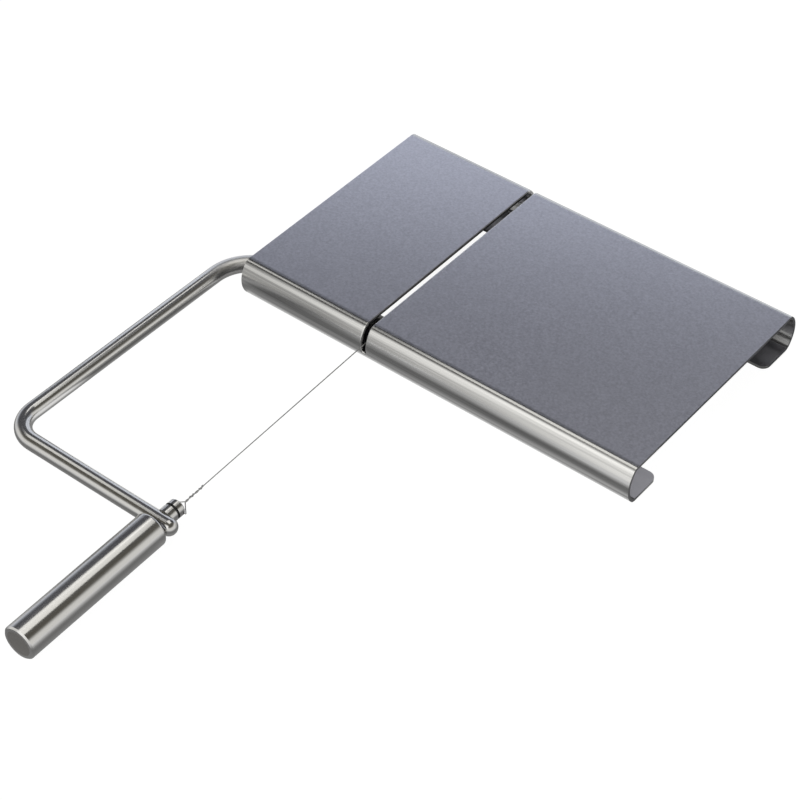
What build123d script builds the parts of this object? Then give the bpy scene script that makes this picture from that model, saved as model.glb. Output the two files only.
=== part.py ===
from build123d import *
import os
import math

os.makedirs("parts", exist_ok=True)

# ---------------------------------------------------------------- sizes (mm)
# Foie gras slicer: a bent steel board with a slot, and a wire bow that swings
# over it. Working axes: X along the board (left end at 0), Y across it (near
# roll's outermost line at 0, the bow folded out lies at negative Y), Z up
# from the table.
L = 215.0          # board length
W = 131.3          # board width over both rolled edges
H = 20.0           # board height
T = 1.5            # sheet thickness
RC = 4.0           # outer radius of the rolled edge's two tight corners
RW = 13.0          # outer radius of the rolled edge's wide wall
LIP = 23.1         # lip's inner edge, measured from the roll's outermost line
LIP_R = 4.0        # round on the lip's free corners

WX = 72.05         # slot
WIRE_X = 72.4      # the wire where it leaves the axle
HX = 73.3          # the stud and handle where they cross the cross rod
YAW = 1.15         # their line is not quite square to the cross rod
SLOT_W = 2.7       # slot width
SLOT_ROUND = 0.6   # round on the slot's outer edges
SLOT_Z = 6.0       # lowest point of the slot in both rolled edges

ROD_R = 4.0        # bow rod, 8 mm bar
AY, AZ = 18.4, 8.0   # axle line (the bow's hinge)
AXLE_END = 96.0    # right end of the axle
ARM_X = -14.5      # arm's centre line beside the board, 10 mm before its near edge
ARM_SLANT = 0.0051 # and how much it leans out towards the cross rod
BEND1 = 20.8       # bend radius, axle to arm
BEND2 = 13.5       # bend radius, arm to cross rod
CROSS_Y = -132.4   # cross rod's centre line
CROSS_END = 82.0   # domed free end of the cross rod

BLOCK_L = 13.0     # bearing block length along X
BLOCK_Y0, BLOCK_Y1 = 7.4, 23.2
BLOCKS = {"left": 8.0, "middle": 45.0, "right": 79.0}
BORE_R = ROD_R + 0.06

SCREW_R, SCREW_HEAD_R, SCREW_LEN = 1.25, 2.4, 9.0
SCREW_Y = 10.4
SCREW_DX = 3.4

RING_T, RING_GROOVE_R, RING_OUT_R = 0.8, 3.6, 6.0

WIRE_R = 0.3       # 0.6 mm wire
WIRE_TOP = AZ + ROD_R + WIRE_R + 0.05   # height where it crosses the axle
APEX_Y = -117.3    # point of the wire's loop
TWIST_END = -105.5 # end of the twisted stretch
TWIST_R = 0.55

SLEEVE_R = 4.1
SLEEVE_Y0, SLEEVE_Y1 = -129.8, -125.65
BOSS_R = 3.1
BOSS_Y1 = -124.95
ORING_R = 0.4      # cord radius of the black ring
STUD_R = 2.0       # plain cylinder for the M4 thread
STUD_END = -166.0
STUD_FLAT = 1.45   # flat on the shank, from its axis
HEAD_R = 4.1
HEAD_Y0, HEAD_Y1, HEAD_Y2 = -124.75, -121.95, -121.2
HEAD_TIP_R = 3.4
EYE_Y = -122.3
EYE_R = 0.62
EYE_TILT = -6.0    # tilt of the cross hole about the stud
LOOP_R = 4.9       # the loop's corners, from the stud's axis

GRIP_R = 8.0       # handle, 16 mm tube
GRIP_IN_R = 6.0
GRIP_Y0, GRIP_Y1 = -215.0, -137.1
PLUG_L = 4.0
INSERT_L = 20.0

# the frame's origin: bottom centre of the whole object, bow folded out
arm_len = math.hypot(ARM_SLANT, 1.0)
arm_dir = (-ARM_SLANT / arm_len, -1.0 / arm_len)
corner1 = (ARM_X + ARM_SLANT * (AY + 10.0), AY)
corner2 = (ARM_X + ARM_SLANT * (CROSS_Y + 10.0), CROSS_Y)
run1 = BEND1 * math.tan(math.acos(-arm_dir[0]) / 2)
run2 = BEND2 * math.tan(math.acos(arm_dir[0]) / 2)
CX = (L + corner2[0] + run2 - BEND2 - ROD_R) / 2.0
Y_LOW = (CROSS_Y - math.cos(math.radians(YAW)) * (CROSS_Y - GRIP_Y0)
         - math.sin(math.radians(YAW)) * (GRIP_R - 0.7))
CY = (W + Y_LOW) / 2.0


# -------------------------------------------------------------- little helps
def cyl_x(r, x0, x1, y, z):
    return Pos((x0 + x1) / 2, y, z) * Rot(0, 90, 0) * Cylinder(r, x1 - x0)


def cyl_y(r, y0, y1, x, z):
    return Pos(x, (y0 + y1) / 2, z) * Rot(90, 0, 0) * Cylinder(r, y1 - y0)


def cyl_z(r, z0, z1, x, y):
    return Pos(x, y, (z0 + z1) / 2) * Cylinder(r, z1 - z0)


def cone_y(r0, r1, y0, y1, x, z):
    # radius r0 at y0, r1 at y1 (y1 > y0)
    return Pos(x, (y0 + y1) / 2, z) * Rot(-90, 0, 0) * Cone(r0, r1, y1 - y0)


def box(x0, x1, y0, y1, z0, z1):
    return Pos((x0 + x1) / 2, (y0 + y1) / 2, (z0 + z1) / 2) * Box(x1 - x0, y1 - y0, z1 - z0)


def turn(shape):
    # from square to the cross rod to the stud and handle's real line
    return Pos(HX, CROSS_Y, AZ) * Rot(0, 0, YAW) * Pos(-HX, -CROSS_Y, -AZ) * shape


def save(shape, name):
    s = Pos(-CX, -CY, 0) * shape
    s.label = name
    export_step(s, "parts/" + name + ".step")


# --------------------------------------------------------------------- board
# One sheet: flat top, both long edges rolled down and in to flat lips.
sa = (H / 2 - RC) / (RW - RC)
ca = math.sqrt(1 - sa * sa)
B = RC * ca + RW * (1 - ca)      # depth of the rolled edge


def edge_points(off):
    # key points of the near edge's profile, off = 0 outside, T inside
    rc, rw = RC - off, RW - off
    s45 = math.sin(math.radians((90 - math.degrees(math.asin(sa))) / 2))
    c45 = math.cos(math.radians((90 - math.degrees(math.asin(sa))) / 2))
    top = (B, H - off)
    top_mid = (B - rc * s45, H - RC + rc * c45)
    up = (B - rc * ca, H - RC + rc * sa)
    mid = (RW - rw, H / 2)
    dn = (up[0], H - up[1])
    bot_mid = (top_mid[0], H - top_mid[1])
    bot = (B, off)
    return top, top_mid, up, mid, dn, bot_mid, bot


def flip(p):
    return (W - p[0], p[1])


o = edge_points(0.0)
i = edge_points(T)


def V(p):
    return (0, p[0], p[1])


prof_edges = [
    Line(V((LIP, 0)), V(o[6])),
    ThreePointArc(V(o[6]), V(o[5]), V(o[4])),
    ThreePointArc(V(o[4]), V(o[3]), V(o[2])),
    ThreePointArc(V(o[2]), V(o[1]), V(o[0])),
    Line(V(o[0]), V(flip(o[0]))),
    ThreePointArc(V(flip(o[0])), V(flip(o[1])), V(flip(o[2]))),
    ThreePointArc(V(flip(o[2])), V(flip(o[3])), V(flip(o[4]))),
    ThreePointArc(V(flip(o[4])), V(flip(o[5])), V(flip(o[6]))),
    Line(V(flip(o[6])), V((W - LIP, 0))),
    Line(V((W - LIP, 0)), V((W - LIP, T))),
    Line(V((W - LIP, T)), V(flip(i[6]))),
    ThreePointArc(V(flip(i[6])), V(flip(i[5])), V(flip(i[4]))),
    ThreePointArc(V(flip(i[4])), V(flip(i[3])), V(flip(i[2]))),
    ThreePointArc(V(flip(i[2])), V(flip(i[1])), V(flip(i[0]))),
    Line(V(flip(i[0])), V(i[0])),
    ThreePointArc(V(i[0]), V(i[1]), V(i[2])),
    ThreePointArc(V(i[2]), V(i[3]), V(i[4])),
    ThreePointArc(V(i[4]), V(i[5]), V(i[6])),
    Line(V(i[6]), V((LIP, T))),
    Line(V((LIP, T)), V((LIP, 0))),
]
profile = Face(Wire(prof_edges))
board = extrude(profile, amount=L, dir=(1, 0, 0))
# free corners of the two lips are rounded
lip_edges = [e for e in board.edges().filter_by(Axis.Z)
             if abs(e.length - T) < 1e-3 and e.center().Z < T
             and (abs(e.center().Y - LIP) < 0.01 or abs(e.center().Y - (W - LIP)) < 0.01)]
board = fillet(lip_edges, LIP_R)
# the slot: right across the top and down both rolled edges
sr = SLOT_W / 2
slot = box(WX - sr, WX + sr, -1, W + 1, SLOT_Z + sr, H + 1)
slot += cyl_y(sr, -1, W + 1, WX, SLOT_Z + sr)
board -= slot


def on_outside(p):
    # true on the top's flat and on the outer arcs of both rolled edges
    y = min(p.Y, W - p.Y)
    if y > B - 1e-3:
        return abs(p.Z - H) < 1e-3
    if p.Z < SLOT_Z + sr - 1e-3:
        return False
    return (abs(math.hypot(y - RW, p.Z - H / 2) - RW) < 2e-3
            or abs(math.hypot(y - B, p.Z - (H - RC)) - RC) < 2e-3)


slot_edges = [e for e in board.edges()
              if abs(abs(e.center().X - WX) - sr) < 1e-3
              and abs(e.bounding_box().max.X - e.bounding_box().min.X) < 1e-3
              and on_outside(e.position_at(0.5))]
board = fillet(slot_edges, SLOT_ROUND)
# countersunk holes in the near lip for the bearing blocks' screws
for x0 in BLOCKS.values():
    for dx in (-SCREW_DX, SCREW_DX):
        xs = x0 + BLOCK_L / 2 + dx
        board -= cyl_z(SCREW_R + 0.15, -1, T + 0.5, xs, SCREW_Y)
        board -= Pos(xs, SCREW_Y, 0.65) * Cone(SCREW_HEAD_R + 0.3, SCREW_R + 0.15, 1.3)
save(board, "board_sheet")

# ------------------------------------------------------------ bearing blocks
# Three blocks fill the near channel between lip and top and carry the axle.
for name, x0 in BLOCKS.items():
    b = box(x0, x0 + BLOCK_L, BLOCK_Y0, BLOCK_Y1, T, H - T - 0.05)
    b = chamfer(b.edges().filter_by(Axis.X), 0.8)
    b -= cyl_x(BORE_R, x0 - 1, x0 + BLOCK_L + 1, AY, AZ)
    # shallow relief in the upper part saves material over the bore
    b -= box(x0 + 3.0, x0 + BLOCK_L - 3.0, BLOCK_Y0 + 6.0, BLOCK_Y1 + 1, AZ + ROD_R + 2.4, H - T - 2.5)
    for dx in (-SCREW_DX, SCREW_DX):
        b -= cyl_z(SCREW_R - 0.0, T - 0.5, SCREW_LEN + 0.4, x0 + BLOCK_L / 2 + dx, SCREW_Y)
    save(b, "bearing_block_" + name)

# six countersunk screws, up through the lip
screws = []
for x0 in BLOCKS.values():
    for dx in (-SCREW_DX, SCREW_DX):
        xs = x0 + BLOCK_L / 2 + dx
        s = cyl_z(SCREW_R - 0.02, 0.15, SCREW_LEN, xs, SCREW_Y)
        s += Pos(xs, SCREW_Y, 0.15 + 0.55) * Cone(SCREW_HEAD_R, SCREW_R - 0.02, 1.1)
        # cross recess
        s -= box(xs - 1.3, xs + 1.3, SCREW_Y - 0.25, SCREW_Y + 0.25, 0, 0.8)
        s -= box(xs - 0.25, xs + 0.25, SCREW_Y - 1.3, SCREW_Y + 1.3, 0, 0.8)
        screws.append(s)
save(Compound(children=screws), "block_screws")

# ----------------------------------------------------------------------- bow
# One 8 mm bar: axle, wide bend, arm, bend, cross rod with a domed end.
p0 = (AXLE_END, AY, AZ)
p1 = (corner1[0] + run1, AY, AZ)
p2 = (corner1[0] + arm_dir[0] * run1, AY + arm_dir[1] * run1, AZ)
p3 = (corner2[0] - arm_dir[0] * run2, CROSS_Y - arm_dir[1] * run2, AZ)
p4 = (corner2[0] + run2, CROSS_Y, AZ)
p5 = (CROSS_END - ROD_R, CROSS_Y, AZ)


def bend_middle(corner, centre, radius):
    d = math.hypot(corner[0] - centre[0], corner[1] - centre[1])
    return (centre[0] + radius * (corner[0] - centre[0]) / d, centre[1] + radius * (corner[1] - centre[1]) / d, AZ)


m12 = bend_middle(corner1, (p1[0], AY - BEND1), BEND1)
m34 = bend_middle(corner2, (p4[0], CROSS_Y + BEND2), BEND2)
path = Wire([Line(p0, p1), ThreePointArc(p1, m12, p2), Line(p2, p3),
             ThreePointArc(p3, m34, p4), Line(p4, p5)])
rod = sweep(Plane(origin=p0, z_dir=(-1, 0, 0)) * Circle(ROD_R), path=path)
rod += Pos(*p5) * Sphere(ROD_R)
rod -= (cyl_x(ROD_R + 1, AXLE_END - 0.6, AXLE_END + 1, AY, AZ)
        - Pos(AXLE_END - 0.3, AY, AZ) * Rot(0, 90, 0) * Cone(ROD_R, ROD_R - 0.6, 0.6))
# retaining ring grooves on both sides of the right-hand bearing block
RING_X = [BLOCKS["right"] - 0.3 - RING_T, BLOCKS["right"] + BLOCK_L + 0.3]
for rx in RING_X:
    rod -= cyl_x(ROD_R + 1, rx - 0.05, rx + RING_T + 0.05, AY, AZ) - cyl_x(RING_GROOVE_R, rx - 0.2, rx + RING_T + 0.2, AY, AZ)
# the wire's hole through the axle, eased at the top, recessed at the bottom
rod -= cyl_z(0.45, AZ - 6, AZ + 6, WIRE_X, AY)
rod -= Pos(WIRE_X, AY, AZ + ROD_R - 0.45) * Cone(0.45, 1.35, 1.0)
rod -= cyl_z(1.35, AZ - 6, AZ - ROD_R + 0.9, WIRE_X, AY)
# the stud's hole through the cross rod
rod -= turn(cyl_y(STUD_R + 0.06, CROSS_Y - 6, CROSS_Y + 6, HX, AZ))
save(rod, "bow_rod")

rings = []
for rx in RING_X:
    r = cyl_x(RING_OUT_R, rx, rx + RING_T, AY, AZ) - cyl_x(RING_GROOVE_R + 0.03, rx - 1, rx + RING_T + 1, AY, AZ)
    # open side of the ring, facing the board's middle
    r -= box(rx - 1, rx + RING_T + 1, AY, AY + 8, AZ - 2.4, AZ + 2.4)
    rings.append(r)
save(Compound(children=rings), "axle_retaining_rings")

# ---------------------------------------------------------------------- wire
# From a crimped ferrule under the axle, up through its hole, out through the
# slot to the twisted loop on the stud's eye. One length of wire.
z_low = AZ - ROD_R - 0.9
yaw = math.radians(YAW)
apex = Vector(HX - math.sin(yaw) * (APEX_Y - CROSS_Y), CROSS_Y + math.cos(yaw) * (APEX_Y - CROSS_Y), AZ)
main = FilletPolyline((WIRE_X, AY, z_low), (WIRE_X, AY, WIRE_TOP), (apex.X, apex.Y, AZ), radius=0.8)
wire = sweep(Plane(origin=(WIRE_X, AY, z_low), z_dir=(0, 0, 1)) * Circle(WIRE_R), path=main)
tilt = math.radians(EYE_TILT)
ex, ez = math.cos(tilt), math.sin(tilt)


def eye(r, y):
    return (HX + r * ex, y, AZ + r * ez)


d_in = 0.5   # the loop's two ends stop inside the twisted stretch
loop_path = FilletPolyline((HX + 0.15, APEX_Y + d_in, AZ), eye(LOOP_R, EYE_Y),
                           eye(-LOOP_R, EYE_Y), (HX - 0.15, APEX_Y + d_in, AZ), radius=0.45)
d0 = Vector(*eye(LOOP_R, EYE_Y)) - Vector(HX + 0.15, APEX_Y + d_in, AZ)
loop = turn(sweep(Plane(origin=(HX + 0.15, APEX_Y + d_in, AZ), z_dir=d0.normalized()) * Circle(WIRE_R), path=loop_path))
# the twisted stretch, as the outer shape of the winding
run = (Vector(WIRE_X, AY, WIRE_TOP) - apex).normalized()
twist_len = (TWIST_END - APEX_Y) / run.Y
twist = Plane(origin=apex, z_dir=run) * Pos(0, 0, twist_len / 2) * Cylinder(TWIST_R, twist_len)
twist += Pos(apex.X, apex.Y, AZ) * Sphere(TWIST_R)
wire = (wire + twist) + loop
save(wire, "cutting_wire")

ferrule = cyl_z(1.1, AZ - ROD_R - 1.1, AZ - ROD_R + 0.85, WIRE_X, AY)
ferrule = fillet(ferrule.edges().filter_by(GeomType.CIRCLE), 0.25)
ferrule -= cyl_z(WIRE_R + 0.01, AZ - 8, AZ, WIRE_X, AY)
save(ferrule, "wire_end_ferrule")

# ------------------------------------------------------------- tension stud
sleeve = cyl_y(SLEEVE_R, SLEEVE_Y0, SLEEVE_Y1, HX, AZ)
sleeve = chamfer(sleeve.edges().filter_by(GeomType.CIRCLE).sort_by(Axis.Y)[-1], 0.25)
sleeve += cyl_y(BOSS_R, SLEEVE_Y1 - 1, BOSS_Y1, HX, AZ)
d_bore = cyl_y(STUD_R + 0.06, SLEEVE_Y0 - 2, BOSS_Y1 + 2, HX, AZ)
d_bore -= box(HX - 5, HX + 5, SLEEVE_Y0 - 3, BOSS_Y1 + 3, AZ + STUD_FLAT + 0.06, AZ + 5)
sleeve -= d_bore
sleeve = turn(sleeve) - cyl_x(ROD_R + 0.02, HX - 20, HX + 20, CROSS_Y, AZ)
save(sleeve, "guide_sleeve")

oy = SLEEVE_Y1 + ORING_R + 0.02
oring = Pos(HX, oy, AZ) * Rot(90, 0, 0) * Torus(BOSS_R + ORING_R + 0.01, ORING_R)
save(turn(oring), "sleeve_o_ring")

stud = cyl_y(STUD_R, STUD_END, HEAD_Y0 + 0.5, HX, AZ)
stud -= box(HX - 5, HX + 5, CROSS_Y - 3.6, HEAD_Y0, AZ + STUD_FLAT, AZ + 5)
stud += cyl_y(HEAD_R, HEAD_Y0, HEAD_Y1, HX, AZ)
stud += cone_y(HEAD_R, HEAD_TIP_R, HEAD_Y1, HEAD_Y2, HX, AZ)
stud -= Pos(HX, EYE_Y, AZ) * Rot(0, -EYE_TILT, 0) * Rot(0, 90, 0) * Cylinder(EYE_R, 12)
# thread's lead-in chamfer
stud -= cyl_y(STUD_R + 1, STUD_END - 1, STUD_END + 0.6, HX, AZ) - cone_y(STUD_R - 0.6, STUD_R, STUD_END, STUD_END + 0.6, HX, AZ)
save(turn(stud), "tension_stud")

washer = cyl_y(4.2, GRIP_Y1 + 0.3, CROSS_Y - 2.6, HX, AZ)
washer -= cyl_y(STUD_R + 0.3, CROSS_Y - 10, CROSS_Y, HX, AZ)
washer = turn(washer) - cyl_x(ROD_R + 0.02, HX - 20, HX + 20, CROSS_Y, AZ)
save(washer, "saddle_washer")

# -------------------------------------------------------------------- handle
grip = cyl_y(GRIP_R, GRIP_Y0, GRIP_Y1, HX, AZ)
ce = grip.edges().filter_by(GeomType.CIRCLE).sort_by(Axis.Y)
grip = chamfer(ce[0], 0.7)
ce = grip.edges().filter_by(GeomType.CIRCLE).sort_by(Axis.Y)
grip = fillet(ce[-1], 1.2)
grip -= cyl_y(GRIP_IN_R, GRIP_Y0 - 1, GRIP_Y1 + 1, HX, AZ)
save(turn(grip), "handle_tube")

plug = cyl_y(GRIP_IN_R, GRIP_Y0, GRIP_Y0 + PLUG_L, HX, AZ)
save(turn(plug), "handle_end_plug")

insert = cyl_y(GRIP_IN_R, GRIP_Y1 - INSERT_L, GRIP_Y1, HX, AZ)
insert -= cyl_y(STUD_R + 0.05, GRIP_Y1 - INSERT_L - 1, GRIP_Y1 + 1, HX, AZ)
insert -= cone_y(STUD_R + 0.05, STUD_R + 0.6, GRIP_Y1 - 0.55, GRIP_Y1, HX, AZ)
save(turn(insert), "handle_thread_insert")

print("origin shift", CX, CY, "roll depth", B)
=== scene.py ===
import bpy, bmesh, math
import numpy as np
from mathutils import Vector, Matrix


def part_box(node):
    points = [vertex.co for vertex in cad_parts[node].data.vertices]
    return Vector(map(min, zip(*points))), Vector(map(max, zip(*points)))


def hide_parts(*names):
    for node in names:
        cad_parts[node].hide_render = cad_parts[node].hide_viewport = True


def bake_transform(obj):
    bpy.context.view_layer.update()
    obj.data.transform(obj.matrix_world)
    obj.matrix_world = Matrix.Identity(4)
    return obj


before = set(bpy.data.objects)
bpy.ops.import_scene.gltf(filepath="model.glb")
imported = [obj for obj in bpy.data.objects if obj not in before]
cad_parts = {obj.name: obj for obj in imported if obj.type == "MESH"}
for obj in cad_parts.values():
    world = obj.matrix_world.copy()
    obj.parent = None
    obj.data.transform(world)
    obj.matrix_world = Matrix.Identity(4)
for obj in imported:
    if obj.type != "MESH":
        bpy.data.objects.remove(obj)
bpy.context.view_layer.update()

# --------------------------------------------------------------------------
# Working coordinates: millimetres from the board's left end, the near roll's
# outermost line and the table. S() turns them into the row frame in metres.
_lo, _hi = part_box("board_sheet")
CX, CY = -_lo[0] * 1000.0, -_lo[1] * 1000.0


def S(x, y, z):
    return Vector(((x - CX) / 1000.0, (y - CY) / 1000.0, z / 1000.0))


BOARD_L, BOARD_W, BOARD_H = 215.0, 131.3, 20.0
WX = 72.05                       # the slot's middle
WIRE_X = 72.4                    # the wire where it leaves the axle
HX, CROSS_Y = 73.3, -132.4       # the stud's line where it crosses the cross rod
YAW = math.radians(1.15)
ROLL = 6.29                      # depth of a rolled edge, seen from above
AXLE_Y, AXLE_Z = 18.4, 8.0

# ------------------------------------------------------------------- camera
cam_data = bpy.data.cameras.new("camera")
cam_data.sensor_width = 36.0
cam_data.lens = 2261.6 / 800.0 * 36.0
cam_data.clip_start, cam_data.clip_end = 0.05, 30.0
cam = bpy.data.objects.new("camera", cam_data)
bpy.context.scene.collection.objects.link(cam)
fwd = Vector((-0.4551, 0.5625, -0.6903)).normalized()
right = Vector((0.7791, 0.6269, -0.0028))
right = (right - fwd * right.dot(fwd)).normalized()
up = right.cross(fwd)
rot = Matrix((right, up, -fwd)).transposed()
cam.matrix_world = Matrix.Translation(S(552.27, -567.27, 686.6)) @ rot.to_4x4()
bpy.context.scene.camera = cam
bpy.context.scene.view_settings.view_transform = "Standard"


# ----------------------------------------------------------- material tools
class Nodes:
    """Short helpers over one node tree."""

    def __init__(self, tree):
        self.t = tree
        self.t.nodes.clear()

    def n(self, kind, **props):
        node = self.t.nodes.new(kind)
        for k, v in props.items():
            setattr(node, k, v)
        return node

    def put(self, socket, value):
        if isinstance(value, bpy.types.NodeSocket):
            self.t.links.new(value, socket)
        elif value is not None:
            socket.default_value = value

    def math(self, op, a, b=None, c=None, clamp=False):
        node = self.n("ShaderNodeMath", operation=op, use_clamp=clamp)
        for s, v in zip(node.inputs, (a, b, c)):
            self.put(s, v)
        return node.outputs[0]

    def vmath(self, op, a, b=None):
        node = self.n("ShaderNodeVectorMath", operation=op)
        self.put(node.inputs[0], a)
        self.put(node.inputs[1], b)
        return node.outputs["Value"] if op in ("DOT_PRODUCT", "LENGTH") else node.outputs[0]

    def obj(self):
        return self.n("ShaderNodeTexCoord").outputs["Object"]

    def sep(self, v):
        node = self.n("ShaderNodeSeparateXYZ")
        self.put(node.inputs[0], v)
        return node.outputs

    def comb(self, x, y, z):
        node = self.n("ShaderNodeCombineXYZ")
        for s, v in zip(node.inputs, (x, y, z)):
            self.put(s, v)
        return node.outputs[0]

    def scale(self, v, s):
        node = self.n("ShaderNodeVectorMath", operation="MULTIPLY")
        self.put(node.inputs[0], v)
        node.inputs[1].default_value = s
        return node.outputs[0]

    def noise(self, v, scale, detail=2.0, rough=0.5, dist=0.0):
        node = self.n("ShaderNodeTexNoise")
        self.put(node.inputs["Vector"], v)
        node.inputs["Scale"].default_value = scale
        node.inputs["Detail"].default_value = detail
        node.inputs["Roughness"].default_value = rough
        node.inputs["Distortion"].default_value = dist
        return node.outputs["Fac"]

    def ramp(self, fac, stops, smooth=False):
        node = self.n("ShaderNodeValToRGB")
        node.color_ramp.interpolation = "EASE" if smooth else "LINEAR"
        els = node.color_ramp.elements
        while len(els) > 2:
            els.remove(els[-1])
        for i, (p, c) in enumerate(stops):
            e = els[i] if i < 2 else els.new(p)
            e.position = p
            e.color = (*c, 1.0) if len(c) == 3 else c
        self.put(node.inputs[0], fac)
        return node.outputs[0]

    def range(self, v, a, b, c=0.0, d=1.0, smooth=True):
        node = self.n("ShaderNodeMapRange")
        node.interpolation_type = "SMOOTHSTEP" if smooth else "LINEAR"
        self.put(node.inputs["Value"], v)
        for name, x in (("From Min", a), ("From Max", b), ("To Min", c), ("To Max", d)):
            node.inputs[name].default_value = x
        return node.outputs[0]

    def mixc(self, fac, a, b, mode="MIX"):
        node = self.n("ShaderNodeMix", data_type="RGBA", blend_type=mode)
        self.put(node.inputs[0], fac)
        self.put(node.inputs[6], (*a, 1.0) if isinstance(a, tuple) else a)
        self.put(node.inputs[7], (*b, 1.0) if isinstance(b, tuple) else b)
        return node.outputs[2]

    def bump(self, height, strength, distance, normal=None):
        node = self.n("ShaderNodeBump")
        node.inputs["Strength"].default_value = strength
        node.inputs["Distance"].default_value = distance
        self.put(node.inputs["Height"], height)
        self.put(node.inputs["Normal"], normal)
        return node.outputs[0]


def material(name):
    m = bpy.data.materials.new(name)
    m.use_nodes = True
    return m, Nodes(m.node_tree)


def surface(k, color, metallic, rough, normal=None, aniso=0.0, tangent=None, spec=None, coat=0.0):
    b = k.n("ShaderNodeBsdfPrincipled")
    k.put(b.inputs["Base Color"], (*color, 1.0) if isinstance(color, tuple) else color)
    b.inputs["Metallic"].default_value = metallic
    k.put(b.inputs["Roughness"], rough)
    b.inputs["Anisotropic"].default_value = aniso
    if spec is not None:
        b.inputs["Specular IOR Level"].default_value = spec
    b.inputs["Coat Weight"].default_value = coat
    k.put(b.inputs["Normal"], normal)
    if tangent is not None:
        k.put(b.inputs["Tangent"], tangent)
    out = k.n("ShaderNodeOutputMaterial")
    k.t.links.new(b.outputs[0], out.inputs[0])
    return b


def brushed(name, base, grain, rough, streak=0.10, bump=0.12, lines=900.0, along=14.0, aniso=0.5, tint=0.03, dull=None):
    """Brushed or ground steel: fine lines along one axis of the object."""
    m, k = material(name)
    p = k.obj()
    s = {"X": (along, lines, lines), "Y": (lines, along, lines), "Z": (lines, lines, along)}[grain]
    fine = k.noise(k.scale(p, s), 1.0, 3.0, 0.6)
    s2 = tuple(v * 0.28 for v in s)
    wide = k.noise(k.scale(p, s2), 1.0, 2.0, 0.5)
    cloud = k.noise(p, 22.0, 3.0, 0.55)
    f = k.math("ADD", k.math("MULTIPLY", fine, 0.6), k.math("MULTIPLY", wide, 0.4))
    r = k.math("ADD", k.range(f, 0.25, 0.75, rough - streak, rough + streak, smooth=False),
               k.range(cloud, 0.3, 0.7, -0.02, 0.02, smooth=False))
    if dull is not None:
        r = k.math("ADD", r, dull(k, p))
    c = k.mixc(k.range(f, 0.3, 0.7, 0.0, 1.0, smooth=False),
               tuple(v * (1.0 - tint) for v in base), tuple(min(1.0, v * (1.0 + tint)) for v in base))
    nrm = k.bump(f, bump, 0.00004)
    surface(k, c, 1.0, r, nrm, aniso, k.comb(*{"X": (1.0, 0.0, 0.0), "Y": (0.0, 1.0, 0.0), "Z": (0.0, 0.0, 1.0)}[grain]))
    return m


# ---------------------------------------------------------------- materials
sheet_steel, k = material("satin_sheet")
p = k.obj()
px, py, pz = k.sep(p)
mid_y, half_y = S(0, BOARD_W / 2, 0).y, (BOARD_W / 2 - ROLL) / 1000.0
from_mid = k.math("ABSOLUTE", k.math("SUBTRACT", py, mid_y))
on_flat = k.math("MULTIPLY", k.range(from_mid, half_y - 0.0001, half_y + 0.0003, 1.0, 0.0), k.range(pz, 0.0188, 0.0194))
from_slot = k.math("ABSOLUTE", k.math("SUBTRACT", px, S(WX, 0, 0).x))
side_of = k.range(px, S(WX, 0, 0).x - 0.0002, S(WX, 0, 0).x + 0.0002, 0.00036, 0.0)
on_flat = k.math("MULTIPLY", on_flat, k.range(k.math("ADD", from_slot, side_of), 0.00190, 0.00200))     # the slot's edges are polished round
facing = k.sep(k.n("ShaderNodeTexCoord").outputs["Normal"])
cut = k.range(k.math("ABSOLUTE", facing[0]), 0.90, 0.98)     # sawn ends and slot faces
grain = k.noise(k.scale(p, (420.0, 2300.0, 2300.0)), 1.0, 3.0, 0.65)
lines = k.noise(k.scale(p, (14.0, 1250.0, 1250.0)), 1.0, 3.0, 0.6)
wide = k.noise(k.scale(p, (6.0, 330.0, 330.0)), 1.0, 3.0, 0.6)
speck = k.noise(p, 920.0, 3.0, 0.6)
cloud = k.noise(k.scale(p, (9.0, 30.0, 30.0)), 1.0, 2.0, 0.5)
f_flat = k.math("ADD", k.math("MULTIPLY", grain, 0.25), k.math("MULTIPLY", speck, 0.75))
f_roll = k.math("ADD", k.math("MULTIPLY", lines, 0.3), k.math("MULTIPLY", wide, 0.7))
fac = k.n("ShaderNodeMix", data_type="FLOAT")
k.put(fac.inputs[0], on_flat)
k.put(fac.inputs[2], f_roll)
k.put(fac.inputs[3], f_flat)
height = fac.outputs[0]
r = k.math("ADD", k.range(on_flat, 0.0, 1.0, 0.205, 0.34, smooth=False),
           k.range(height, 0.25, 0.75, -0.045, 0.045, smooth=False))
r = k.math("ADD", r, k.range(cloud, 0.3, 0.7, -0.004, 0.004, smooth=False))
r = k.math("MAXIMUM", r, k.math("MULTIPLY", cut, 0.46))
fine = k.range(height, 0.3, 0.7, 0.0, 1.0, smooth=False)
# the satin flat is darker than the polished roll; its blue tint is painted reflection of the bluish light behind the
# board
tone = k.mixc(on_flat, k.mixc(fine, (0.510, 0.507, 0.503), (0.790, 0.787, 0.780)),
              k.mixc(fine, (0.451, 0.456, 0.516), (0.637, 0.643, 0.719)))
streak = k.noise(k.scale(p, (4.0, 520.0, 520.0)), 1.0, 2.0, 0.5)
streak = k.math("MULTIPLY", k.range(streak, 0.38, 0.50, 1.0, 0.0), k.range(on_flat, 0.0, 0.3, 1.0, 0.0))
streak = k.math("MULTIPLY", streak, k.range(px, S(40, 0, 0).x, S(150, 0, 0).x, 0.34, 0.16))
tone = k.mixc(streak, tone, (0.12, 0.12, 0.118))
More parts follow.
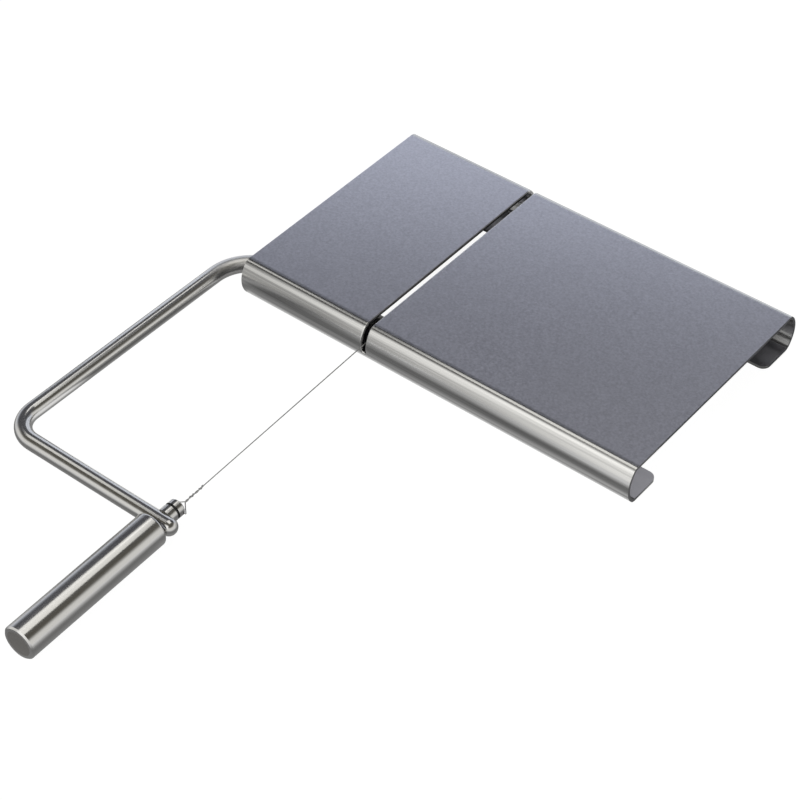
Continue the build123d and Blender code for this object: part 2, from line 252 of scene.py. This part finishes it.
# painted shade: a thin dark line painted where the satin film stops, stronger toward the right, and a dark line painted
# beside the slot's left edge on top
film_edge_shade = k.math("SUBTRACT", from_mid, half_y)
film_edge_shade = k.math("MULTIPLY", k.range(film_edge_shade, 0.00005, 0.0002), k.range(film_edge_shade, 0.00065, 0.00042))
tone = k.mixc(k.math("MULTIPLY", film_edge_shade, k.range(px, S(10, 0, 0).x, S(150, 0, 0).x, 0.1, 0.55, smooth=False)), tone, (0.10, 0.10, 0.10))
# painted shade: a dark band painted on the flat along its near edge, where the near roll begins
bend = k.math("SUBTRACT", from_mid, half_y)
bend = k.math("MULTIPLY", k.range(bend, -0.0017, -0.0003), k.range(bend, 0.0004, 0.0001))
bend = k.math("MULTIPLY", bend, k.range(py, mid_y, mid_y - 0.01))
tone = k.mixc(k.math("MULTIPLY", bend, 0.52), tone, (0.10, 0.10, 0.11))
# painted shade: a dark line painted on the flat just left of the slot, where the lighting gives none
left = k.math("SUBTRACT", S(WX, 0, 0).x, px)
left = k.math("MULTIPLY", k.range(left, 0.0010, 0.0012), k.range(left, 0.00170, 0.00158))
left = k.math("MULTIPLY", left, k.math("MULTIPLY", k.range(pz, 0.0182, 0.0186), k.range(from_mid, half_y + 0.0003, half_y - 0.0003)))
tone = k.mixc(k.math("MULTIPLY", left, 0.72), tone, (0.10, 0.10, 0.11))
# painted light: the slot's cut faces in the near roll are painted pale, and the other sawn faces get a dark grey
# painted lighter toward the front than behind
in_slot = k.math("MULTIPLY", k.range(from_slot, 0.0030, 0.0026), k.range(from_mid, half_y, half_y + 0.0006))
tone = k.mixc(cut, tone, k.mixc(in_slot, k.mixc(k.range(py, S(0, 20, 0).y, S(0, 24, 0).y, 1.0, 0.0), (0.17, 0.17, 0.18), (0.27, 0.27, 0.275)), (0.80, 0.80, 0.79)))
# the lip's upward faces get a rougher finish and a bluish grey whose blue tint is painted reflection
lip = k.math("MULTIPLY", k.range(facing[2], 0.90, 0.97), k.range(pz, 0.0032, 0.0026))
tone = k.mixc(lip, tone, (0.555, 0.555, 0.605))
r = k.math("ADD", r, k.math("MULTIPLY", lip, 0.10))
surface(k, tone, 1.0, r, k.bump(height, 0.16, 0.00003))


def first_bend(k, p):
    """The bar's skin is duller where it is bent into the axle."""
    return k.range(k.sep(p)[1], S(0, -16, 0).y, S(0, 4, 0).y, 0.0, 0.20)


bar_steel = brushed("ground_bar", (0.66, 0.655, 0.645), "Y", 0.17, streak=0.04, bump=0.05, lines=1500.0, along=60.0, aniso=0.0, dull=first_bend)
handle_steel = brushed("ground_tube", (0.66, 0.655, 0.645), "Y", 0.18, streak=0.05, bump=0.08, lines=1500.0, along=30.0, aniso=0.0)
end_steel = brushed("turned_end", (0.47, 0.455, 0.43), "X", 0.34, streak=0.05, bump=0.05, lines=1200.0, along=300.0, aniso=0.0)
stud_steel = brushed("turned_stud", (0.64, 0.635, 0.625), "X", 0.17, streak=0.04, bump=0.04, lines=1500.0, along=300.0, aniso=0.0)
wire_steel = brushed("drawn_wire", (0.46, 0.46, 0.455), "Y", 0.28, streak=0.05, bump=0.03, lines=2500.0, along=80.0, aniso=0.0)
spring_steel = brushed("spring_steel", (0.30, 0.30, 0.31), "X", 0.32, streak=0.06, bump=0.05, aniso=0.0)
screw_steel = brushed("screw_steel", (0.58, 0.575, 0.565), "Z", 0.27, streak=0.05, bump=0.05, aniso=0.0)
insert_steel = brushed("insert_steel", (0.50, 0.49, 0.48), "Y", 0.30, streak=0.06, bump=0.06, lines=900.0, along=200.0, aniso=0.0)

polymer, k = material("black_polymer")
p = k.obj()
n1 = k.noise(p, 900.0, 4.0, 0.6)
n2 = k.noise(p, 60.0, 2.0, 0.5)
surface(k, k.mixc(k.range(n2, 0.3, 0.7), (0.034, 0.034, 0.036), (0.050, 0.050, 0.052)), 0.0,
        k.range(n1, 0.3, 0.7, 0.48, 0.62), k.bump(n1, 0.25, 0.00006))

rubber, k = material("black_rubber")
p = k.obj()
n1 = k.noise(p, 1200.0, 3.0, 0.6)
surface(k, k.mixc(k.range(n1, 0.3, 0.7), (0.010, 0.010, 0.010), (0.018, 0.018, 0.018)), 0.0,
        k.range(n1, 0.3, 0.7, 0.38, 0.5), k.bump(n1, 0.15, 0.00003))

USE = {
    "board_sheet": sheet_steel,
    "bearing_block_left": polymer, "bearing_block_middle": polymer, "bearing_block_right": polymer,
    "block_screws": screw_steel,
    "bow_rod": bar_steel,
    "axle_retaining_rings": spring_steel,
    "wire_end_ferrule": screw_steel,
    "guide_sleeve": stud_steel, "tension_stud": stud_steel,
    "sleeve_o_ring": rubber, "saddle_washer": polymer,
    "handle_tube": handle_steel, "handle_end_plug": end_steel, "handle_thread_insert": insert_steel,
    "cutting_wire": wire_steel,
}
for node, mat in USE.items():
    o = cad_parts[node]
    o.data.materials.clear()
    o.data.materials.append(mat)

# ----------------------------------------------------------------- the wire
# One length of wire: up through the axle, along to the stud, round through
# its eye in a triangle, and back over itself in a loose hand twist.
WIRE_R = 0.25


def on_stud(u, y, w=0.0):
    """A point beside the stud's line: u along its cross hole, w above it."""
    tilt = math.radians(-6.0)
    x = u * math.cos(tilt) - w * math.sin(tilt)
    z = u * math.sin(tilt) + w * math.cos(tilt)
    dy = y - CROSS_Y
    return Vector((HX + x * math.cos(YAW) - dy * math.sin(YAW), CROSS_Y + x * math.sin(YAW) + dy * math.cos(YAW), AXLE_Z + z))


APEX_Y, EYE_Y = -117.3, -122.3
apex = on_stud(0.30, APEX_Y, -0.45)
top_of_axle = Vector((WIRE_X, AXLE_Y, 12.35))
run = (top_of_axle - apex).normalized()
up_n = Vector((0, 0, 1))
across = run.cross(up_n).normalized()
over = across.cross(run)

pts = []
for z in (3.2, 4.5, 6.0, 8.0, 10.0, 11.2):
    pts.append(Vector((WIRE_X, AXLE_Y, z)))
for i in range(1, 7):                       # bend over the axle's eased hole
    a = math.radians(90) * i / 6
    pts.append(Vector((WIRE_X, AXLE_Y - 0.75 * (1 - math.cos(a)), 11.58 + 0.75 * math.sin(a))))
length = (top_of_axle - apex).length
TWIST = 11.6                                # length of the hand twist
n_run = 56
for i in range(n_run + 1):
    s = length - 2.5 + (TWIST + 0.8 - length + 2.5) * i / n_run
    pts.append(apex + run * s)


def twist_turn(s):
    """Angle of the two strands at s mm from the apex: slow, with two tight places."""
    tight = 1.6 / (1 + math.exp(-(s - 4.3) * 3.2)) + 1.6 / (1 + math.exp(-(s - 9.4) * 3.0))
    return math.pi * 0.5 + 2 * math.pi * (s / 5.2 + tight * 0.5)


def strand(s, side):
    """Centre of one strand; the taut one stays nearer the middle."""
    knot = math.exp(-((s - 4.3) / 0.8) ** 2) + math.exp(-((s - 9.4) / 0.8) ** 2)
    rad = 0.14 if side > 0 else (0.33 + 0.07 * knot)
    fade = min(1.0, max(0.0, (TWIST - s) / 1.2)) if side > 0 else 1.0
    grow = min(1.0, 0.35 + s / 0.7)
    a = twist_turn(s)
    return apex + run * s + (across * math.cos(a) + over * math.sin(a)) * (side * rad * fade * grow)


n_tw = 110
for i in range(n_tw + 1):
    pts.append(strand(TWIST * (1 - i / n_tw), 1.0))
# the triangle, with its two corners bent round a small pin
leg = [(0.35, APEX_Y - 0.45), (1.45, APEX_Y - 1.62), (2.9, APEX_Y - 3.08), (4.0, APEX_Y - 4.12), (4.42, EYE_Y + 0.42),
       (4.62, EYE_Y + 0.20), (4.60, EYE_Y + 0.03), (4.40, EYE_Y - 0.02), (3.9, EYE_Y), (2.0, EYE_Y)]


def lean(u, y):
    """The triangle hangs a little low and to the right of the stud's line."""
    f = min(1.0, max(0.0, (y - EYE_Y) / (APEX_Y - EYE_Y)))
    return 0.22 + 0.08 * f, -0.30 - 0.15 * f


for u, y in leg:
    du, dw = lean(u, y)
    pts.append(on_stud(u + du, y, dw + 0.03 * math.sin(u)))
for u, y in reversed(leg):
    du, dw = lean(u, y)
    pts.append(on_stud(-u + du, y, dw - 0.04 * math.sin(u * 1.3)))
tail = TWIST - 0.35
for i in range(n_tw + 1):
    s = tail * i / n_tw
    pts.append(strand(s, -1.0) + over * (0.25 * max(0.0, (s - tail + 0.9) / 0.9) ** 2))


def tube(name, points, radius, sides=12):
    """A round wire along the points, with slightly rounded cut ends."""
    P = [p for i, p in enumerate(points) if i == 0 or (p - points[i - 1]).length > 0.02]
    T = []
    for i in range(len(P)):
        T.append((P[min(i + 1, len(P) - 1)] - P[max(i - 1, 0)]).normalized())
    nrm = T[0].orthogonal().normalized()
    me = bpy.data.meshes.new(name)
    bm = bmesh.new()
    rings = []
    for i, (p, tan) in enumerate(zip(P, T)):
        nrm = (nrm - tan * nrm.dot(tan)).normalized()
        bn = tan.cross(nrm)
        r = radius * (0.72 if i in (0, len(P) - 1) else 1.0)
        ring = []
        for j in range(sides):
            a = 2 * math.pi * j / sides
            ring.append(bm.verts.new(S(*(p + (nrm * math.cos(a) + bn * math.sin(a)) * r))))
        rings.append(ring)
    for a, b in zip(rings, rings[1:]):
        for j in range(sides):
            bm.faces.new((a[j], a[(j + 1) % sides], b[(j + 1) % sides], b[j]))
    bm.faces.new(list(reversed(rings[0])))
    bm.faces.new(rings[-1])
    bmesh.ops.recalc_face_normals(bm, faces=bm.faces)
    bm.to_mesh(me)
    bm.free()
    for poly in me.polygons:
        poly.use_smooth = len(poly.vertices) == 4
    o = bpy.data.objects.new(name, me)
    bpy.context.scene.collection.objects.link(o)
    return o


wire = tube("wire_with_loop", pts, WIRE_R)
wire.data.materials.append(wire_steel)
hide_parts("cutting_wire")
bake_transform(wire)

# ----------------------------------------------------------------- the stage
me = bpy.data.meshes.new("floor")
bm = bmesh.new()
bmesh.ops.create_grid(bm, x_segments=1, y_segments=1, size=6.0)
bm.to_mesh(me)
bm.free()
floor = bpy.data.objects.new("floor", me)
bpy.context.scene.collection.objects.link(floor)
floor.location = (0, 0, -0.0002)
fm, k = material("pale_floor")
# white to the eye; in reflections it is a white table with soft contact shade
pos = k.sep(k.obj())
px, py = pos[0], pos[1]


def box_distance(x0, x1, y0, y1):
    a, b = S(x0, y0, 0), S(x1, y1, 0)
    ex = k.math("SUBTRACT", k.math("ABSOLUTE", k.math("SUBTRACT", px, (a.x + b.x) / 2)), (b.x - a.x) / 2)
    ey = k.math("SUBTRACT", k.math("ABSOLUTE", k.math("SUBTRACT", py, (a.y + b.y) / 2)), (b.y - a.y) / 2)
    ex, ey = k.math("MAXIMUM", ex, 0.0), k.math("MAXIMUM", ey, 0.0)
    return k.vmath("LENGTH", k.comb(ex, ey, 0.0))


near = box_distance(0, 215, 0, 131.3)
for b4 in ((-19, -11, -132, 14), (-15, 84, -136, -128), (66, 81, -214, -137)):
    near = k.math("MINIMUM", near, box_distance(*b4))
far_shade = k.ramp(k.math("MULTIPLY", near, 4.0), [
    (0.0, (0.30,) * 3), (0.02, (0.24,) * 3), (0.05, (0.20,) * 3), (0.08, (0.25,) * 3), (0.12, (0.42,) * 3),
    (0.20, (0.58,) * 3), (0.44, (0.80,) * 3), (0.90, (0.86,) * 3)])
front_dark = k.ramp(k.math("MULTIPLY", near, 4.0), [
    (0.0, (0.38,) * 3), (0.010, (0.29,) * 3), (0.024, (0.20,) * 3), (0.056, (0.13,) * 3), (0.084, (0.15,) * 3),
    (0.13, (0.20,) * 3), (0.23, (0.24,) * 3), (0.44, (0.50,) * 3)])
front_pale = k.ramp(k.math("MULTIPLY", near, 4.0), [
    (0.0, (0.62,) * 3), (0.010, (0.44,) * 3), (0.024, (0.25,) * 3), (0.056, (0.12,) * 3), (0.084, (0.26,) * 3),
    (0.13, (0.58,) * 3), (0.23, (0.86,) * 3), (0.44, (0.90,) * 3)])
front_shade = k.mixc(k.range(px, S(0, 0, 0).x, S(190, 0, 0).x, smooth=False), front_dark, front_pale)
in_front = k.math("MULTIPLY", k.range(py, S(0, -90, 0).y, S(0, -70, 0).y), k.range(py, S(0, 1.0, 0).y, S(0, 0.0, 0).y))
shade = k.mixc(in_front, far_shade, front_shade)
in_bow = k.math("MULTIPLY", k.range(py, S(0, -124, 0).y, S(0, -112, 0).y), k.range(py, S(0, -78, 0).y, S(0, -92, 0).y))
in_bow = k.math("MULTIPLY", in_bow, k.math("MULTIPLY", k.range(px, S(-11, 0, 0).x, S(0, 0, 0).x), k.range(px, S(66, 0, 0).x, S(52, 0, 0).x)))
shade = k.mixc(in_bow, shade, (1.02, 1.02, 1.02))
# under the board daylight comes in at its two ends and under the near roll's lip
ends = k.math("SUBTRACT", k.math("ABSOLUTE", k.math("SUBTRACT", px, S(107.5, 0, 0).x)), k.math("MULTIPLY", k.math("SUBTRACT", py, S(0, 0, 0).y), 0.3))
ends = k.math("MULTIPLY", k.range(ends, 0.0510, 0.0600), k.sep(k.ramp(k.math("MULTIPLY", k.math("SUBTRACT", py, S(0, 0, 0).y), 8.0), [
    (0.03, (0.0,) * 3), (0.13, (0.74,) * 3), (0.48, (0.80,) * 3), (0.60, (0.55,) * 3), (0.72, (0.50,) * 3), (0.80, (0.10,) * 3)]))[0])
under_lip = k.ramp(k.math("MULTIPLY", k.math("SUBTRACT", py, S(0, 0, 0).y), 100.0), [
    (0.0, (0.35,) * 3), (0.13, (0.47,) * 3), (0.27, (0.72,) * 3), (0.40, (0.76,) * 3), (0.60, (0.0,) * 3)])
by_arm = k.range(px, S(14, 0, 0).x, S(2, 0, 0).x, 0.0, 0.42)
row = k.math("MAXIMUM", k.math("MAXIMUM", k.math("ADD", ends, 0.02), by_arm), k.sep(under_lip)[0])
inside = k.range(box_distance(0, 215, 0, 131.3), 0.0, 0.002, 1.0, 0.0)
seen = k.n("ShaderNodeMix", data_type="RGBA")
k.t.links.new(inside, seen.inputs[0])
k.t.links.new(shade, seen.inputs[6])
k.t.links.new(k.comb(row, row, row), seen.inputs[7])
glossy_floor = k.n("ShaderNodeEmission")
k.t.links.new(seen.outputs[2], glossy_floor.inputs[0])
white = k.n("ShaderNodeEmission")
white.inputs[0].default_value = (1, 1, 1, 1)
white.inputs[1].default_value = 0.96
lit = k.n("ShaderNodeBsdfDiffuse")
lit.inputs[0].default_value = (0.14, 0.14, 0.14, 1)
add = k.n("ShaderNodeAddShader")
k.t.links.new(lit.outputs[0], add.inputs[0])
k.t.links.new(white.outputs[0], add.inputs[1])
path = k.n("ShaderNodeLightPath")
mix = k.n("ShaderNodeMixShader")
k.t.links.new(path.outputs["Is Camera Ray"], mix.inputs[0])
k.t.links.new(glossy_floor.outputs[0], mix.inputs[1])
k.t.links.new(add.outputs[0], mix.inputs[2])
out = k.n("ShaderNodeOutputMaterial")
k.t.links.new(mix.outputs[0], out.inputs[0])
me.materials.append(fm)

# ------------------------------------------------------------------- lights
world = bpy.data.worlds.new("studio")
bpy.context.scene.world = world
world.use_nodes = True
k = Nodes(world.node_tree)
d = k.n("ShaderNodeTexCoord").outputs["Generated"]
x, y, z = k.sep(d)
flat = k.vmath("NORMALIZE", k.comb(x, y, 0.0))


def lobe(az, inner, outer):
    """1 within inner degrees of the azimuth, 0 beyond outer."""
    a = math.radians(az)
    c = k.vmath("DOT_PRODUCT", flat, (math.cos(a), math.sin(a), 0.0))
    return k.range(c, math.cos(math.radians(outer)), math.cos(math.radians(inner)))


def below(full, gone):
    """1 up to full degrees of elevation, 0 above gone."""
    return k.range(z, math.sin(math.radians(gone)), math.sin(math.radians(full)))


def mixv(fac, a, b):
    node = k.n("ShaderNodeMix", data_type="VECTOR")
    k.put(node.inputs[0], fac)
    k.put(node.inputs[4], a)
    k.put(node.inputs[5], b)
    return node.outputs[1]


ceiling = mixv(lobe(125, 40, 90), (0.112, 0.105, 0.088), (0.088, 0.089, 0.099))
wall = (0.86, 0.85, 0.82)
back = (0.66, 0.69, 0.76)
front = mixv(below(6, 36), (1.34, 1.335, 1.30), (0.88, 0.875, 0.85))
level = mixv(below(18, 38), ceiling, wall)
level = mixv(lobe(130, 38, 70), level, mixv(below(2, 28), ceiling, back))
level = mixv(k.math("MULTIPLY", lobe(-86, 22, 46), below(50, 66)), level, front)
# a small far lamp, high behind the board
lamp = k.vmath("DOT_PRODUCT", k.vmath("NORMALIZE", d), (-0.2090, 0.5395, 0.8157))
level = mixv(k.range(lamp, math.cos(math.radians(6.5)), math.cos(math.radians(2.8))), level, (1.50, 1.48, 1.43))
bg = k.n("ShaderNodeBackground")
k.put(bg.inputs[0], level)
bg.inputs[1].default_value = 1.0
out = k.n("ShaderNodeOutputWorld")
k.t.links.new(bg.outputs[0], out.inputs[0])


def soft_light(name, at, to, width, height, radiance, color):
    L = bpy.data.lights.new(name, "AREA")
    L.shape = "RECTANGLE"
    L.size, L.size_y = width, height
    L.color = color
    L.energy = radiance * math.pi * width * height  # watts for this radiance, one-sided
    o = bpy.data.objects.new(name, L)
    bpy.context.scene.collection.objects.link(o)
    o.location = at
    o.rotation_euler = (Vector(to) - Vector(at)).to_track_quat("-Z", "Y").to_euler()
    o.visible_camera = False
    return o


soft_light("softbox_top", S(-15, 153, 1000), S(-15, 153, 0), 0.79, 0.545, 1.06, (1.0, 0.985, 0.93))
soft_light("softbox_side", S(-670, -65, 1000), S(-670, -65, 0), 0.30, 0.53, 0.85, (1.0, 0.985, 0.93))



def card(name, corners, paint):
    """A glowing studio card; paint(k, x, y, z) gives its radiance and cover."""
    me = bpy.data.meshes.new(name)
    bm = bmesh.new()
    bm.faces.new([bm.verts.new(c) for c in corners])
    bm.to_mesh(me)
    bm.free()
    o = bpy.data.objects.new(name, me)
    bpy.context.scene.collection.objects.link(o)
    cm, k = material(name + "_glow")
    glow, cover = paint(k, *k.sep(k.obj()))
    em = k.n("ShaderNodeEmission")
    k.put(em.inputs[0], glow)
    clear = k.n("ShaderNodeBsdfTransparent")
    mix = k.n("ShaderNodeMixShader")
    k.put(mix.inputs[0], cover)
    k.t.links.new(clear.outputs[0], mix.inputs[1])
    k.t.links.new(em.outputs[0], mix.inputs[2])
    out = k.n("ShaderNodeOutputMaterial")
    k.t.links.new(mix.outputs[0], out.inputs[0])
    me.materials.append(cm)
    o.visible_camera = False
    o.visible_shadow = False
    return o


def grey(v):
    return (v, v, v)


# A pale card stands behind the far left corner, brightest at the table.
az = math.radians(117.0)
c0 = S(100, 65, 0) + Vector((math.cos(az), math.sin(az), 0)) * 0.345
side = Vector((-math.sin(az), math.cos(az), 0)) * 0.45


def back_paint(k, x, y, z):
    g = k.ramp(k.math("MULTIPLY", z, 2.0), [(0.0, grey(1.06)), (0.18, grey(1.00)), (0.22, grey(0.62)), (0.34, grey(0.70)), (0.38, grey(1.06)), (0.50, grey(1.06)), (0.56, grey(0.14)), (0.9, grey(0.06))])
    return k.mixc(1.0, g, (0.91, 0.95, 1.045), "MULTIPLY"), k.range(z, 0.35, 0.30)


card("back_card", [c0 + side * s + Vector((0, 0, h)) for s, h in ((-1, 0), (1, 0), (1, 0.5), (-1, 0.5))], back_paint)


# A one-sided card in front of the near roll: brighter to the right.
def front_paint(k, x, y, z):
    g = k.ramp(k.math("MULTIPLY", z, 1.25), [
        (0.0, grey(0.74)), (0.045, grey(0.74)), (0.072, grey(0.86)), (0.09, grey(1.02)), (0.111, grey(1.32)),
        (0.144, grey(1.50)), (0.184, grey(1.46)), (0.237, grey(1.12)), (0.32, grey(0.62)), (0.465, grey(0.32)), (0.9, grey(0.30))])
    u = k.math("MULTIPLY", k.math("SUBTRACT", x, S(-250, 0, 0).x), 2.0)    # 0 at -250, 1 at 250
    low = k.ramp(u, [(0.36, grey(0.62)), (0.44, grey(0.46)), (0.56, grey(0.70)), (0.70, grey(1.0)), (0.82, grey(1.28))])
    mid = k.ramp(u, [(0.30, grey(0.72)), (0.42, grey(0.90)), (0.55, grey(0.95)), (0.68, grey(1.0)), (0.82, grey(1.08))])
    top = k.ramp(u, [(0.10, grey(0.12)), (0.28, grey(0.22)), (0.36, grey(0.45)), (0.50, grey(0.74)), (0.64, grey(1.0)), (0.80, grey(1.08))])
    f = k.mixc(k.range(z, 0.030, 0.060), low, mid)
    f = k.mixc(k.range(z, 0.085, 0.150), f, top)
    g = k.mixc(1.0, k.mixc(1.0, g, f, "MULTIPLY"), (1.0, 0.992, 0.962), "MULTIPLY")
    facing = k.math("SUBTRACT", 1.0, k.n("ShaderNodeNewGeometry").outputs["Backfacing"])
    return g, k.math("MULTIPLY", facing, k.range(z, 0.78, 0.70))


card("front_card", [S(x, -120, z) for x, z in ((450, -0.1), (-450, -0.1), (-450, 790), (450, 790))], front_paint)
